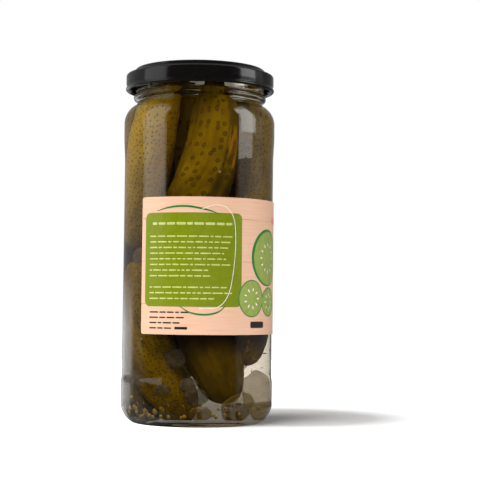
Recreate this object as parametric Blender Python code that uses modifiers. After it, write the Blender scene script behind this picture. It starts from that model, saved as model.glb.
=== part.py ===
"""A tall glass jar of whole pickled gherkins, shut with a black twist-off lid, with a wrap-around label.

Metres, +Z up. The origin is on the floor under the middle of the jar. Azimuths are in degrees, from the
side with the label's text panel (the -Y side), turning towards +X.
"""

import math
import random

import bmesh
import bpy
import numpy as np
from mathutils import Euler, Vector

# The jar
JAR_RADIUS = 0.03675
JAR_HEIGHT = 0.1700
WALL = 0.0026
FOOT_RADIUS = 0.0304
FOOT_WIDTH = 0.0035
HEEL_HEIGHT = 0.0087
HEEL_FULLNESS = 1.3
PUSH_UP = 0.0020
FLOOR_THICKNESS = 0.0036
FLOOR_DOME = 0.0006
CORNER_RADIUS = 0.0075
CORNER_HEIGHT = 0.0085
PANEL_DEPTH = 0.0005
PANEL_BOTTOM = 0.0245
PANEL_TOP = 0.1255
SHOULDER_START = 0.1449
SHOULDER_RADIUS = 0.0098
NECK_RADIUS = 0.0306
BEAD_RADIUS = 0.0324
BEAD_HEIGHT = 0.1576
BEAD_SIZE = 0.0016
FINISH_RADIUS = 0.0316
BORE_RADIUS = 0.0284
LIP_ROUNDING = 0.0012
THREADS = 4
THREAD_DEPTH = 0.0015
THREAD_HALF_WIDTH = 0.0019
THREAD_LOW = 0.1612
THREAD_RISE = 0.0056
THREAD_START = -54.0
INNER_RADIUS = JAR_RADIUS - PANEL_DEPTH - WALL

# The label, a strip of paper from its left edge round to its right one
LABEL_BOTTOM = 0.0431
LABEL_TOP = 0.1070
LABEL_THICKNESS = 0.00015
LABEL_START = -47.0
LABEL_SWEEP = 280.0
LABEL_STEPS = 40

# The lid
LID_RADIUS = 0.0361
LID_BOTTOM = 0.1609
LID_TOP = 0.1719
LID_THICKNESS = 0.0004
LID_RING_RADIUS = 0.0302
LID_RING_SIZE = 0.0017
LID_RING_HEIGHT = 0.0014
BUTTON_RADIUS = 0.0145
BUTTON_HEIGHT = 0.0006
LID_STEP_DEPTH = 0.0028
LID_EDGE_ROUNDING = 0.0012
CURL_SIZE = 0.0009
LUGS = 4
LUG_DEPTH = 0.0016
LUG_HALF_ANGLE = 11.0

# The contents
CLEARANCE = 0.0005
CONTENTS_BOTTOM = FLOOR_THICKNESS + FLOOR_DOME + CLEARANCE
SEED_COUNT = 36
SEED_RADIUS = 0.00105
GARLIC_THICKNESS = 0.0034
BED_THICKNESS = 0.0010
CORE_RADIUS = 0.0140
CORE_BOTTOM = 0.0440
CORE_TOP = 0.1440

# Sides of the round pieces
ROUND_STEPS = 46
CORE_STEPS = 20
GHERKIN_SIDES = 11
GHERKIN_RINGS = 9
GARLIC_SIDES = 10

# Each gherkin: its name, its diameter, how much fuller its lower half is, and the azimuth, distance from
# the jar's axis and height of its lower end, its middle and its upper end
GHERKINS = (
    ("upper_left", 0.0222, 0.00, (-100, 0.0220, 0.0850), (-77, 0.0224, 0.1210), (-39, 0.0195, 0.1640)),
    ("upper_front", 0.0238, 0.24, (-47, 0.0208, 0.0840), (8, 0.0212, 0.1190), (17, 0.0185, 0.1650)),
    ("upper_right", 0.0198, 0.05, (54, 0.0226, 0.0900), (82, 0.0234, 0.1200), (86, 0.0200, 0.1530)),
    ("upper_far_right", 0.0206, 0.00, (112, 0.0228, 0.0880), (130, 0.0230, 0.1200), (146, 0.0192, 0.1580)),
    ("upper_far_back", 0.0214, 0.08, (168, 0.0226, 0.0850), (184, 0.0228, 0.1200), (206, 0.0190, 0.1610)),
    ("upper_far_left", 0.0206, -0.05, (-142, 0.0228, 0.0830), (-124, 0.0230, 0.1180), (-98, 0.0195, 0.1570)),
    ("upper_core", 0.0170, 0.00, (100, 0.0030, 0.0800), (100, 0.0000, 0.1170), (100, -0.0030, 0.1520)),
    ("lower_left", 0.0224, -0.04, (-2, 0.0194, 0.0060), (-56, 0.0220, 0.0310), (-98, 0.0222, 0.0780)),
    ("lower_front", 0.0250, 0.02, (37, 0.0214, 0.0106), (10, 0.0207, 0.0450), (-24, 0.0208, 0.0750)),
    ("lower_right", 0.0204, 0.00, (54, 0.0218, 0.0285), (74, 0.0232, 0.0540), (92, 0.0230, 0.0850)),
    ("lower_far_right", 0.0196, 0.00, (110, 0.0226, 0.0440), (120, 0.0234, 0.0640), (138, 0.0228, 0.0860)),
    ("lower_back", 0.0200, 0.00, (156, 0.0226, 0.0420), (166, 0.0232, 0.0620), (174, 0.0226, 0.0840)),
    ("lower_far_back", 0.0208, 0.06, (-126, 0.0218, 0.0066), (-164, 0.0228, 0.0400), (-184, 0.0226, 0.0820)),
    ("lower_far_left", 0.0206, 0.00, (-58, 0.0196, 0.0062), (-104, 0.0226, 0.0270), (-140, 0.0230, 0.0740)),
    ("lower_core", 0.0180, 0.00, (60, 0.0040, 0.0400), (60, 0.0010, 0.0620), (60, -0.0030, 0.0880)),
    ("middle_front", 0.0180, 0.00, (34, 0.0220, 0.0540), (30, 0.0236, 0.0710), (24, 0.0220, 0.0900)),
)
# Bits of garlic: azimuth, distance from the axis, height, radius, and the lean of their flat side
GARLIC = (
    (-21, 0.0264, 0.0315, 0.0052, 10),
    (-29, 0.0310, 0.0172, 0.0038, -15),
    (-7, 0.0285, 0.0198, 0.0040, 30),
    (0, 0.0290, 0.0142, 0.0050, -20),
    (-74, 0.0305, 0.0220, 0.0030, 0),
    (-52, 0.0256, 0.0830, 0.0050, 15),
    (4, 0.0265, 0.0072, 0.0050, -60),
)

# Colours, roughness and metallic value of each material
MATERIALS = {
    "jar": ((0.86, 0.90, 0.86), 0.03, 0.0),
    "lid": ((0.012, 0.011, 0.011), 0.22, 0.0),
    "label": ((0.84, 0.56, 0.42), 0.45, 0.0),
    "pickles": ((0.13, 0.08, 0.01), 0.35, 0.0),
}


def clear_scene():
    for thing in list(bpy.data.objects):
        bpy.data.objects.remove(thing)


def new_collection(name, hidden=False):
    group = bpy.data.collections.new(name)
    bpy.context.scene.collection.children.link(group)
    group.hide_render = hidden
    return group


def add_material(thing, name):
    colour, roughness, metallic = MATERIALS[name]
    material = bpy.data.materials.new(name)
    material.use_nodes = True
    shader = material.node_tree.nodes["Principled BSDF"]
    shader.inputs["Base Color"].default_value = (*colour, 1.0)
    shader.inputs["Roughness"].default_value = roughness
    shader.inputs["Metallic"].default_value = metallic
    if name == "jar":
        shader.inputs["Transmission Weight"].default_value = 1.0
        shader.inputs["IOR"].default_value = 1.5
    thing.data.materials.clear()
    thing.data.materials.append(material)


def add_object(name, mesh, group):
    thing = bpy.data.objects.new(name, mesh)
    group.objects.link(thing)
    return thing


def applied(thing):
    """Replaces an object's mesh by its evaluated one, and drops its modifiers."""
    bpy.context.view_layer.update()
    graph = bpy.context.evaluated_depsgraph_get()
    mesh = bpy.data.meshes.new_from_object(thing.evaluated_get(graph))
    thing.modifiers.clear()
    thing.data = mesh
    return thing


def arc(centre, radii, start, end, steps):
    """Points of an elliptical arc in the profile plane, as (radius, height), from one angle to another."""
    angles = np.radians(np.linspace(start, end, steps + 1))
    return [(centre[0] + radii[0] * math.cos(a), centre[1] + radii[1] * math.sin(a)) for a in angles]


def turned(name, profile, group, steps=ROUND_STEPS):
    """Turns a profile of (radius, height) points about the jar's axis."""
    mesh = bpy.data.meshes.new(name)
    points = [(radius, 0.0, height) for radius, height in profile]
    mesh.from_pydata(points, [(i, i + 1) for i in range(len(points) - 1)], [])
    thing = add_object(name, mesh, group)
    screw = thing.modifiers.new("turn", "SCREW")
    screw.steps = screw.render_steps = steps
    screw.use_merge_vertices = True
    screw.merge_threshold = 0.00001
    return applied(thing)


def polar(azimuth, distance, height):
    angle = math.radians(azimuth)
    return Vector((distance * math.sin(angle), -distance * math.cos(angle), height))


def azimuth_of(point):
    return math.degrees(math.atan2(point.x, -point.y))


def smooth_bump(value):
    """1 at 0, falling smoothly to 0 at -1 and 1."""
    return 0.5 + 0.5 * math.cos(math.pi * max(-1.0, min(1.0, value)))


def shape_near(thing, move):
    """Moves each vertex along its own radius by what move(azimuth, radius, height) returns."""
    for vertex in thing.data.vertices:
        point = vertex.co
        radius = math.hypot(point.x, point.y)
        if radius > 0.001:
            shift = move(azimuth_of(point), radius, point.z)
            point.xy = point.xy * ((radius + shift) / radius)


def smooth_shade(thing, sharp_degrees=35):
    thing.data.shade_smooth()
    thing.data.set_sharp_from_angle(angle=math.radians(sharp_degrees))


def jar_outside():
    """The jar's outer profile from the lip down to the middle of its base."""
    mouth = [(BORE_RADIUS + LIP_ROUNDING, JAR_HEIGHT)]
    rounding = (LIP_ROUNDING, LIP_ROUNDING)
    lip = arc((FINISH_RADIUS - LIP_ROUNDING, JAR_HEIGHT - LIP_ROUNDING), rounding, 90, 0, 2)
    below_lip = JAR_HEIGHT - 2 * LIP_ROUNDING
    finish = [(FINISH_RADIUS, height) for height in np.linspace(below_lip, LID_BOTTOM - CLEARANCE, 7)]
    bead = arc((BEAD_RADIUS - BEAD_SIZE, BEAD_HEIGHT), (BEAD_SIZE, BEAD_SIZE), 70, -70, 3)
    cosine = (NECK_RADIUS - JAR_RADIUS + SHOULDER_RADIUS) / SHOULDER_RADIUS
    centre = (JAR_RADIUS - SHOULDER_RADIUS, SHOULDER_START)
    rounding = (SHOULDER_RADIUS, SHOULDER_RADIUS)
    shoulder = arc(centre, rounding, math.degrees(math.acos(cosine)), 0, 5)
    body = [(JAR_RADIUS, PANEL_TOP + 8 * PANEL_DEPTH), (JAR_RADIUS - PANEL_DEPTH, PANEL_TOP)]
    body += [(JAR_RADIUS - PANEL_DEPTH, PANEL_BOTTOM), (JAR_RADIUS, PANEL_BOTTOM - 4 * PANEL_DEPTH)]
    heel = []
    for angle in np.radians(np.linspace(90, 0, 6)):
        out, down = math.sin(angle) ** HEEL_FULLNESS, math.cos(angle) ** HEEL_FULLNESS
        heel.append((FOOT_RADIUS + (JAR_RADIUS - FOOT_RADIUS) * out, HEEL_HEIGHT * (1 - down)))
    base = [(FOOT_RADIUS - FOOT_WIDTH, 0.0), (FOOT_RADIUS - 2 * FOOT_WIDTH, 0.8 * PUSH_UP), (0.0, PUSH_UP)]
    return mouth + lip + finish + bead + shoulder + body + heel + base


def jar_inside():
    """The jar's inner profile from the middle of its floor up to the lip."""
    rounding = (CORNER_RADIUS, CORNER_HEIGHT)
    turn_in = INNER_RADIUS - CORNER_RADIUS
    corner = arc((turn_in, FLOOR_THICKNESS + CORNER_HEIGHT), rounding, -90, 0, 4)
    shoulder = arc((turn_in, SHOULDER_START), rounding, 0, 62, 3)
    bore = [(BORE_RADIUS, SHOULDER_START + 1.2 * CORNER_HEIGHT), (BORE_RADIUS, JAR_HEIGHT - LIP_ROUNDING)]
    return [(0.0, FLOOR_THICKNESS + FLOOR_DOME)] + corner + shoulder + bore


def thread_move(azimuth, radius, height):
    """Thread ridges on the finish, each rising over most of its share of the turn and fading at both ends."""
    on_finish = LID_BOTTOM - CLEARANCE / 2 < height < JAR_HEIGHT - LIP_ROUNDING
    if radius < FINISH_RADIUS - CLEARANCE / 2 or not on_finish:
        return 0.0
    share = 360.0 / THREADS
    along = ((azimuth - THREAD_START) % share) / share
    off_centre = (height - THREAD_LOW - THREAD_RISE * along) / THREAD_HALF_WIDTH
    fade = smooth_bump(max(0.0, 2.4 * abs(along - 0.45) - 0.6) / 0.4)
    return THREAD_DEPTH * fade * smooth_bump(off_centre)


def make_jar(group):
    profile = jar_inside() + jar_outside()
    jar = turned("jar", profile, group)
    shape_near(jar, thread_move)
    smooth_shade(jar)
    add_material(jar, "jar")


def lid_profile():
    """The pressed lid from the middle of its top, out and down to the rolled edge, and back underneath."""
    panel = LID_TOP - LID_RING_HEIGHT
    button = panel + BUTTON_HEIGHT
    ring_inside, ring_outside = LID_RING_RADIUS - LID_RING_SIZE, LID_RING_RADIUS + LID_RING_SIZE
    ring_centre = (LID_RING_RADIUS, LID_TOP - LID_EDGE_ROUNDING)
    ring = arc(ring_centre, (LID_RING_SIZE, LID_EDGE_ROUNDING), 150, 20, 3)
    step = LID_TOP - LID_STEP_DEPTH
    rounding = (LID_EDGE_ROUNDING, LID_EDGE_ROUNDING)
    edge = arc((LID_RADIUS - LID_EDGE_ROUNDING, step - LID_EDGE_ROUNDING), rounding, 80, 0, 2)
    curl_centre = (LID_RADIUS - CURL_SIZE + CLEARANCE / 2, LID_BOTTOM + CURL_SIZE)
    curl = arc(curl_centre, (CURL_SIZE, CURL_SIZE), 60, -210, 5)
    inner = LID_RADIUS - LID_THICKNESS
    under_step, under_panel = step - LID_THICKNESS, panel - LID_THICKNESS
    top = [(0.0, button), (BUTTON_RADIUS - BUTTON_HEIGHT, button), (BUTTON_RADIUS, panel)]
    top += [(ring_inside - CURL_SIZE, panel)] + ring + [(ring_outside + CURL_SIZE, step)]
    skirt = edge + [(LID_RADIUS, LID_BOTTOM + 3 * CURL_SIZE)]
    under = [(inner, LID_BOTTOM + 2.4 * CURL_SIZE), (inner, under_step - LID_EDGE_ROUNDING)]
    under += [(inner - LID_EDGE_ROUNDING, under_step), (ring_outside + CURL_SIZE, under_step)]
    under += [(ring_outside, LID_TOP - LID_EDGE_ROUNDING)]
    under += [(ring_inside + CURL_SIZE, LID_TOP - 2 * LID_THICKNESS)]
    under += [(ring_inside - CURL_SIZE / 2, under_panel), (BUTTON_RADIUS, under_panel)]
    under += [(BUTTON_RADIUS - 2 * BUTTON_HEIGHT, button - LID_THICKNESS), (0.0, button - LID_THICKNESS)]
    return top + skirt + curl + under


def lug_move(azimuth, radius, height):
    """Lugs, where the rolled edge is pressed inwards under the jar's threads."""
    if height > LID_BOTTOM + 2.3 * CURL_SIZE or radius > LID_RADIUS - CLEARANCE / 5:
        return 0.0
    share = 360.0 / LUGS
    off = ((azimuth + share / 2) % share) - share / 2
    return -LUG_DEPTH * smooth_bump(off / LUG_HALF_ANGLE)


def make_lid(group):
    lid = turned("lid", lid_profile(), group)
    shape_near(lid, lug_move)
    smooth_shade(lid)
    add_material(lid, "lid")


def make_label(group):
    """A paper strip lying on the jar's recessed panel, with a gap left open at the back."""
    inner = JAR_RADIUS - LABEL_THICKNESS
    mesh = bpy.data.meshes.new("label")
    cage = bmesh.new()
    rows = []
    for height in (LABEL_BOTTOM, LABEL_TOP):
        sweep = np.linspace(LABEL_START, LABEL_START + LABEL_SWEEP, LABEL_STEPS + 1)
        rows.append([cage.verts.new(polar(azimuth, inner, height)) for azimuth in sweep])
    for i in range(LABEL_STEPS):
        cage.faces.new((rows[0][i], rows[0][i + 1], rows[1][i + 1], rows[1][i]))
    cage.to_mesh(mesh)
    cage.free()
    label = add_object("label", mesh, group)
    paper = label.modifiers.new("paper", "SOLIDIFY")
    paper.thickness = LABEL_THICKNESS
    paper.offset = 1.0
    applied(label)
    add_material(label, "label")


def gherkin_axis(ends_and_middle, share):
    """A point on the bowed line through a gherkin, from its lower end at 0 to its upper end at 1."""
    lower, middle, upper = (np.array(point) for point in ends_and_middle)
    weights = 2 * (share - 0.5) * (share - 1), 4 * share * (1 - share), 2 * share * (share - 0.5)
    return polar(*(weights[0] * lower + weights[1] * middle + weights[2] * upper))


def gherkin_radius(share, fuller_below):
    """A gherkin's half-thickness along its length, as a share of half its diameter: blunt at both ends."""
    along = 2 * share - 1
    blunt = max(0.0, 1 - abs(along) ** 4.6) ** 0.5
    return blunt * (0.95 + 0.05 * math.cos(math.pi * along)) * (1 - 0.5 * fuller_below * along)


def inside_limit(height):
    """How far from the axis the contents may reach at a height."""
    above_corner = FLOOR_THICKNESS + CORNER_HEIGHT - height
    beyond = max(above_corner, height - SHOULDER_START, 0.0) / CORNER_HEIGHT
    turn_in = CORNER_RADIUS * (1 - math.sqrt(1 - min(beyond, 0.99) ** 2))
    limit = INNER_RADIUS - turn_in
    if height > SHOULDER_START:
        limit = max(limit, BORE_RADIUS)
    return limit - CLEARANCE


def keep_inside(point):
    """Pulls a point of the contents back inside the glass."""
    point.z = max(point.z, CONTENTS_BOTTOM)
    distance = math.hypot(point.x, point.y)
    limit = inside_limit(point.z)
    if distance > limit:
        point.xy = point.xy * (limit / distance)
    return point


def make_gherkin(name, diameter, fuller_below, ends_and_middle, group):
    """A gherkin from a sphere whose rings are moved along the bowed line."""
    ball = bmesh.new()
    bmesh.ops.create_uvsphere(ball, u_segments=GHERKIN_SIDES, v_segments=GHERKIN_RINGS, radius=1.0)
    for vertex in ball.verts:
        share = (1 + vertex.co.z) / 2
        ahead = gherkin_axis(ends_and_middle, share + 0.02)
        behind = gherkin_axis(ends_and_middle, share - 0.02)
        turn = (ahead - behind).to_track_quat("Z", "Y")
        flat = Vector((vertex.co.x, vertex.co.y, 0.0))
        if flat.length > 0.0001:
            flat.normalize()
        reach = diameter / 2 * gherkin_radius(share, fuller_below)
        vertex.co = keep_inside(gherkin_axis(ends_and_middle, share) + turn @ (flat * reach))
    mesh = bpy.data.meshes.new(name)
    ball.to_mesh(mesh)
    ball.free()
    return add_object(name, mesh, group)


def make_garlic_slice(index, azimuth, distance, height, radius, tilt, group):
    disc = bmesh.new()
    sizes = {"radius1": radius, "radius2": 0.85 * radius, "depth": GARLIC_THICKNESS}
    bmesh.ops.create_cone(disc, cap_ends=True, segments=GARLIC_SIDES, **sizes)
    facing_out = polar(azimuth, 1.0, 0.0).to_track_quat("Z", "Y")
    leaning = Euler((math.radians(-tilt), 0.0, 0.0)).to_quaternion()
    for vertex in disc.verts:
        vertex.co = keep_inside(polar(azimuth, distance, height) + facing_out @ leaning @ vertex.co)
    mesh = bpy.data.meshes.new(f"garlic_{index}")
    disc.to_mesh(mesh)
    disc.free()
    return add_object(f"garlic_{index}", mesh, group)


def make_seed(index, point, group):
    ball = bmesh.new()
    bmesh.ops.create_icosphere(ball, subdivisions=1, radius=SEED_RADIUS)
    for vertex in ball.verts:
        vertex.co = vertex.co + point
    mesh = bpy.data.meshes.new(f"seed_{index}")
    ball.to_mesh(mesh)
    ball.free()
    return add_object(f"seed_{index}", mesh, group)


def make_core(group):
    """The heap's middle, which the gherkins stand round."""
    rounding = CORE_RADIUS / 2
    inner = CORE_RADIUS - rounding
    upper = [(0.0, CORE_TOP), (inner, CORE_TOP), (CORE_RADIUS, CORE_TOP - rounding)]
    lower = [(CORE_RADIUS, CORE_BOTTOM + rounding), (inner, CORE_BOTTOM), (0.0, CORE_BOTTOM)]
    return turned("pickles", upper + lower, group, CORE_STEPS)


def make_bed(group):
    """The thin bed of fallen spice under the gherkins, on which the seeds lie."""
    edge = inside_limit(CONTENTS_BOTTOM)
    top = CONTENTS_BOTTOM + BED_THICKNESS
    profile = [(0.0, top), (edge - BED_THICKNESS, top), (edge, CONTENTS_BOTTOM), (0.0, CONTENTS_BOTTOM)]
    return turned("spice_bed", profile, group, CORE_STEPS)


def make_pickles(group, helpers):
    """The heap of gherkins, garlic and seeds, fused to one solid."""
    core = make_core(group)
    for name, diameter, fuller_below, *ends_and_middle in GHERKINS:
        make_gherkin(name, diameter, fuller_below, ends_and_middle, helpers)
    for index, values in enumerate(GARLIC):
        make_garlic_slice(index, *values, helpers)
    make_bed(helpers)
    chance = random.Random(7)
    for index in range(SEED_COUNT):
        azimuth = 360.0 * index / SEED_COUNT + chance.uniform(-3.0, 3.0)
        height = CONTENTS_BOTTOM + BED_THICKNESS + SEED_RADIUS * chance.uniform(-0.3, 0.5)
        distance = inside_limit(CONTENTS_BOTTOM) - SEED_RADIUS * chance.uniform(1.0, 2.4)
        make_seed(index, polar(azimuth, distance, height), helpers)
    fuse = core.modifiers.new("fuse", "BOOLEAN")
    fuse.operation = "UNION"
    fuse.operand_type = "COLLECTION"
    fuse.collection = helpers
    applied(core)
    for helper in list(helpers.objects):
        bpy.data.objects.remove(helper)
    smooth_shade(core, 50)
    add_material(core, "pickles")


def main():
    clear_scene()
    pieces = new_collection("pickle jar")
    helpers = new_collection("fused into the heap", hidden=True)
    make_jar(pieces)
    make_lid(pieces)
    make_label(pieces)
    make_pickles(pieces, helpers)
    bpy.data.collections.remove(helpers)


main()
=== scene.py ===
"""A tall glass jar of whole gherkins in brine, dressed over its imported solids, with its studio and camera.

Metres, +Z up, the origin on the floor under the middle of the jar. Azimuths are in degrees from the -Y side,
the side with the label's text panel, turning towards +X.
"""

import math
import random

import bmesh
import bpy
import numpy as np
from mathutils import Matrix, Vector, noise


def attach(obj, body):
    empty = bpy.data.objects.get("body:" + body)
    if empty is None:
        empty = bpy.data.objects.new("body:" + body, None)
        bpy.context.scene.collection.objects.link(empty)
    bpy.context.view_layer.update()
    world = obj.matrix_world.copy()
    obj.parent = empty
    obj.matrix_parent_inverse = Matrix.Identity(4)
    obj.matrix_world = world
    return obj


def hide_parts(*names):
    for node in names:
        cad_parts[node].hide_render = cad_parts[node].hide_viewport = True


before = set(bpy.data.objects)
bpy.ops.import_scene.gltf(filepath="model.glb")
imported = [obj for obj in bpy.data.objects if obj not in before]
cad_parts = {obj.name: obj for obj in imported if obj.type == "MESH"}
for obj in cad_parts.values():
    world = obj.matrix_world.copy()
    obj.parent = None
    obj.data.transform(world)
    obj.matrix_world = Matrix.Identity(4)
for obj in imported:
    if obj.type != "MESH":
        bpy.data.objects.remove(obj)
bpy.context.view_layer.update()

MM = 0.001

# The jar, as in the solids
JAR_RADIUS = 0.03675
JAR_HEIGHT = 0.1700
WALL = 0.0026
FOOT_RADIUS = 0.0304
FOOT_WIDTH = 0.0035
HEEL_HEIGHT = 0.0087
HEEL_FULLNESS = 1.3
PUSH_UP = 0.0020
FLOOR_THICKNESS = 0.0036
FLOOR_DOME = 0.0006
CORNER_RADIUS = 0.0075
CORNER_HEIGHT = 0.0085
PANEL_DEPTH = 0.0005
PANEL_BOTTOM = 0.0245
PANEL_TOP = 0.1255
SHOULDER_START = 0.1449
SHOULDER_RADIUS = 0.0098
NECK_RADIUS = 0.0306
BEAD_RADIUS = 0.0324
BEAD_HEIGHT = 0.1576
BEAD_SIZE = 0.0016
FINISH_RADIUS = 0.0316
BORE_RADIUS = 0.0284
LIP_ROUNDING = 0.0012
THREADS = 4
THREAD_DEPTH = 0.0015
THREAD_HALF_WIDTH = 0.0019
THREAD_LOW = 0.1612
THREAD_RISE = 0.0056
THREAD_START = -54.0
INNER_RADIUS = JAR_RADIUS - PANEL_DEPTH - WALL
JAR_STEPS = 180

# The brine reaches this far into the glass, so that no gap of air shows
BRINE_OVERLAP = 0.00008
BRINE_TOP = 0.1652

# The label
LABEL_BOTTOM = 0.0431
LABEL_HEIGHT = 0.0639
LABEL_RADIUS = 0.03675
LABEL_THICKNESS = 0.00015
LABEL_START = -45.6
LABEL_SWEEP = 278.6
LABEL_CORNER = 0.0012
LABEL_WIDTH = math.radians(LABEL_SWEEP) * LABEL_RADIUS
INK_LAYER = 0.00002

# The lid
LID_RADIUS = 0.0361
LID_BOTTOM = 0.1609
LID_TOP = 0.1719
LID_THICKNESS = 0.0004
LID_RING_RADIUS = 0.0302
LID_RING_SIZE = 0.0017
LID_RING_HEIGHT = 0.0014
BUTTON_RADIUS = 0.0145
BUTTON_HEIGHT = 0.0006
LID_STEP_DEPTH = 0.0028
LID_EDGE_ROUNDING = 0.0012
CURL_SIZE = 0.0009
LUGS = 4
LUG_DEPTH = 0.0016
LUG_HALF_ANGLE = 11.0
LID_STEPS = 180

# The contents stay this far inside the glass
CLEARANCE = 0.0004
CONTENTS_BOTTOM = FLOOR_THICKNESS + FLOOR_DOME + CLEARANCE

# Each gherkin: its name, its diameter, how much fuller its lower half is, and the azimuth, distance from
# the jar's axis and height of its lower end, its middle and its upper end
GHERKINS = (
    ("upper_left", 0.0222, 0.00, (-100, 0.0220, 0.0850), (-77, 0.0224, 0.1210), (-39, 0.0195, 0.1640)),
    ("upper_front", 0.0238, 0.24, (-47, 0.0208, 0.0840), (8, 0.0212, 0.1190), (17, 0.0185, 0.1650)),
    ("upper_right", 0.0198, 0.05, (54, 0.0226, 0.0900), (82, 0.0234, 0.1200), (86, 0.0194, 0.1590)),
    ("upper_far_right", 0.0206, 0.00, (112, 0.0228, 0.0880), (130, 0.0230, 0.1200), (146, 0.0192, 0.1580)),
    ("upper_far_back", 0.0214, 0.08, (168, 0.0226, 0.0850), (184, 0.0228, 0.1200), (206, 0.0186, 0.1640)),
    ("upper_far_left", 0.0206, -0.05, (-142, 0.0228, 0.0830), (-124, 0.0230, 0.1180), (-98, 0.0195, 0.1570)),
    ("upper_core", 0.0170, 0.00, (100, 0.0030, 0.0800), (100, 0.0000, 0.1170), (100, -0.0030, 0.1600)),
    ("lower_left", 0.0224, -0.04, (-2, 0.0194, 0.0060), (-56, 0.0220, 0.0310), (-98, 0.0222, 0.0780)),
    ("lower_front", 0.0250, 0.02, (37, 0.0214, 0.0106), (10, 0.0207, 0.0450), (-24, 0.0208, 0.0750)),
    ("lower_right", 0.0204, 0.00, (54, 0.0218, 0.0285), (74, 0.0232, 0.0540), (92, 0.0230, 0.0850)),
    ("lower_far_right", 0.0196, 0.00, (110, 0.0226, 0.0440), (120, 0.0234, 0.0640), (138, 0.0228, 0.0860)),
    ("lower_back", 0.0200, 0.00, (156, 0.0226, 0.0420), (166, 0.0232, 0.0620), (174, 0.0226, 0.0840)),
    ("lower_far_back", 0.0208, 0.06, (-126, 0.0218, 0.0066), (-164, 0.0228, 0.0400), (-184, 0.0226, 0.0820)),
    ("lower_far_left", 0.0206, 0.00, (-58, 0.0196, 0.0062), (-104, 0.0226, 0.0270), (-140, 0.0230, 0.0740)),
    ("lower_core", 0.0180, 0.00, (60, 0.0040, 0.0400), (60, 0.0010, 0.0620), (60, -0.0030, 0.0880)),
    ("middle_front", 0.0180, 0.00, (34, 0.0220, 0.0540), (30, 0.0236, 0.0710), (24, 0.0220, 0.0900)),
)
# Gherkins with close, small dots in place of ringed warts
DOTTED = ("upper_left", "lower_left", "upper_right", "lower_far_left", "upper_far_left")
# Painted shade: how far each of these gherkins is darkened towards dark olive, standing in for the little
# light that reaches it, the lower ones most
DARKER = {
    "upper_left": 0.0, "upper_front": 0.12, "upper_right": 0.3, "lower_left": 0.24, "lower_front": 0.34,
    "lower_right": 0.3, "middle_front": 0.7, "lower_far_left": 0.7, "lower_core": 0.7, "lower_far_right": 0.5,
    "lower_back": 0.5, "lower_far_back": 0.5,
}
GHERKIN_SIDES = 68
GHERKIN_RING_SPACING = 0.00095
WART_SPACING = 4.1
DOT_SPACING = 2.3
# How strongly the warts and dots show, on most gherkins and on the smooth one at the lower front
MARKED = 0.72
FAINTLY_MARKED = 0.16
# Painted light: how much paler the upper left gherkin is painted, standing in for the light on it, and how
# much paler all of them are painted near the top of the jar, where more light reaches them
PALER_LEFT = 0.26
PALER_TOP = 0.14
PALER_TOP_START = 0.118
# Heights between which painted shade darkens the lower gherkins under the label, as the label's painted
# shadow, and the ends of the painted highlight strip at the right of the upper front one
UNDER_LABEL = (0.030, 0.043)
LIT_STRIP = (0.117, 0.143)
# The skin's attributes: dots or warts, how strongly they show, each gherkin's random paleness with painted
# light added, painted shade, and painted highlight
SKIN_ATTRIBUTES = ("dotted", "warty", "tone", "shade", "lit")

# Bits of garlic, and at azimuths over 0 slices of olive: azimuth, distance from the axis, height, radius, and
# the lean of their flat side
GARLIC = (
    (-21, 0.0264, 0.0315, 0.0052, 10),
    (-29, 0.0310, 0.0172, 0.0038, -15),
    (-7, 0.0285, 0.0198, 0.0040, 30),
    (0, 0.0290, 0.0142, 0.0050, -20),
    (-74, 0.0305, 0.0220, 0.0030, 0),
    (-56, 0.0316, 0.0800, 0.0046, 15),
    (4, 0.0265, 0.0072, 0.0050, -60),
    (64, 0.0284, 0.0150, 0.0126, 6),
    (42, 0.0266, 0.0100, 0.0084, -38),
)
GARLIC_THICKNESS = 0.0030
SEED_DIAMETER = 0.0019
DILL_THICKNESS = 0.00035

# Cucumber slices of the print, in mm along and up the label: the oval of the rind and of the flesh, each as
# its middle, half its width and half its height, then the radius of the ring of seeds and their number
CUCUMBER_SLICES = (
    ((70.0, 36.5, 13.0, 13.6), (70.6, 36.3, 12.0, 12.7), 6.4, 12),
    ((57.4, 17.0, 8.2, 8.8), (57.4, 17.0, 7.7, 8.3), 4.2, 9),
    ((72.0, 15.5, 7.4, 7.0), (72.0, 15.5, 6.9, 6.5), 3.6, 8),
)
# The printed planks, in mm: how wide they are, and where the joint between two lies
PLANK_WIDTH = 19.85
JOINT_PLACE = 14.4
# The ink shapes are cut this often, in mm, so that they follow the label round
INK_STRIP = 1.2

# Where on the floor the middle of the jar's shadow lies; the floor's painted glow fades out towards it
SHADOW_MIDDLE = (0.045, 0.030, 0.0)

# The camera, fitted to the jar's outline: focal length in pixels of the 480-pixel picture, metres, radians
FOCAL_PIXELS = 1339.6
PICTURE_PIXELS = 480
CAMERA_PLACE = (0.0, -0.6549, 0.0586)
CAMERA_PITCH = 0.0460
CAMERA_ROLL = -0.0108
CAMERA_YAW = 0.0312


# Small tools

def linear(colour):
    """Turns an sRGB hex colour to linear red, green, blue and alpha."""
    channels = [int(colour[i:i + 2], 16) / 255 for i in (0, 2, 4)]
    return tuple(c / 12.92 if c <= 0.04045 else ((c + 0.055) / 1.055) ** 2.4 for c in channels) + (1.0,)


def fill_sockets(tree, node, sockets):
    """Gives each socket of a node its value, or a link from an output or from another node's first output."""
    for socket, given in sockets.items():
        if isinstance(given, bpy.types.Node):
            given = given.outputs[0]
        if isinstance(given, bpy.types.NodeSocket):
            tree.links.new(given, node.inputs[socket])
        else:
            node.inputs[socket].default_value = given


def add_node(tree, kind, sockets=None, **settings):
    """Adds a node with its settings, its sockets' values and the links into its sockets."""
    node = tree.nodes.new(kind)
    for name, value in settings.items():
        setattr(node, name, value)
    fill_sockets(tree, node, sockets or {})
    return node


def fading(value, start, end, low=0.0, high=1.0):
    """The sockets of a Map Range node that goes from low at start to high at end."""
    return {"Value": value, "From Min": start, "From Max": end, "To Min": low, "To Max": high}


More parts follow.
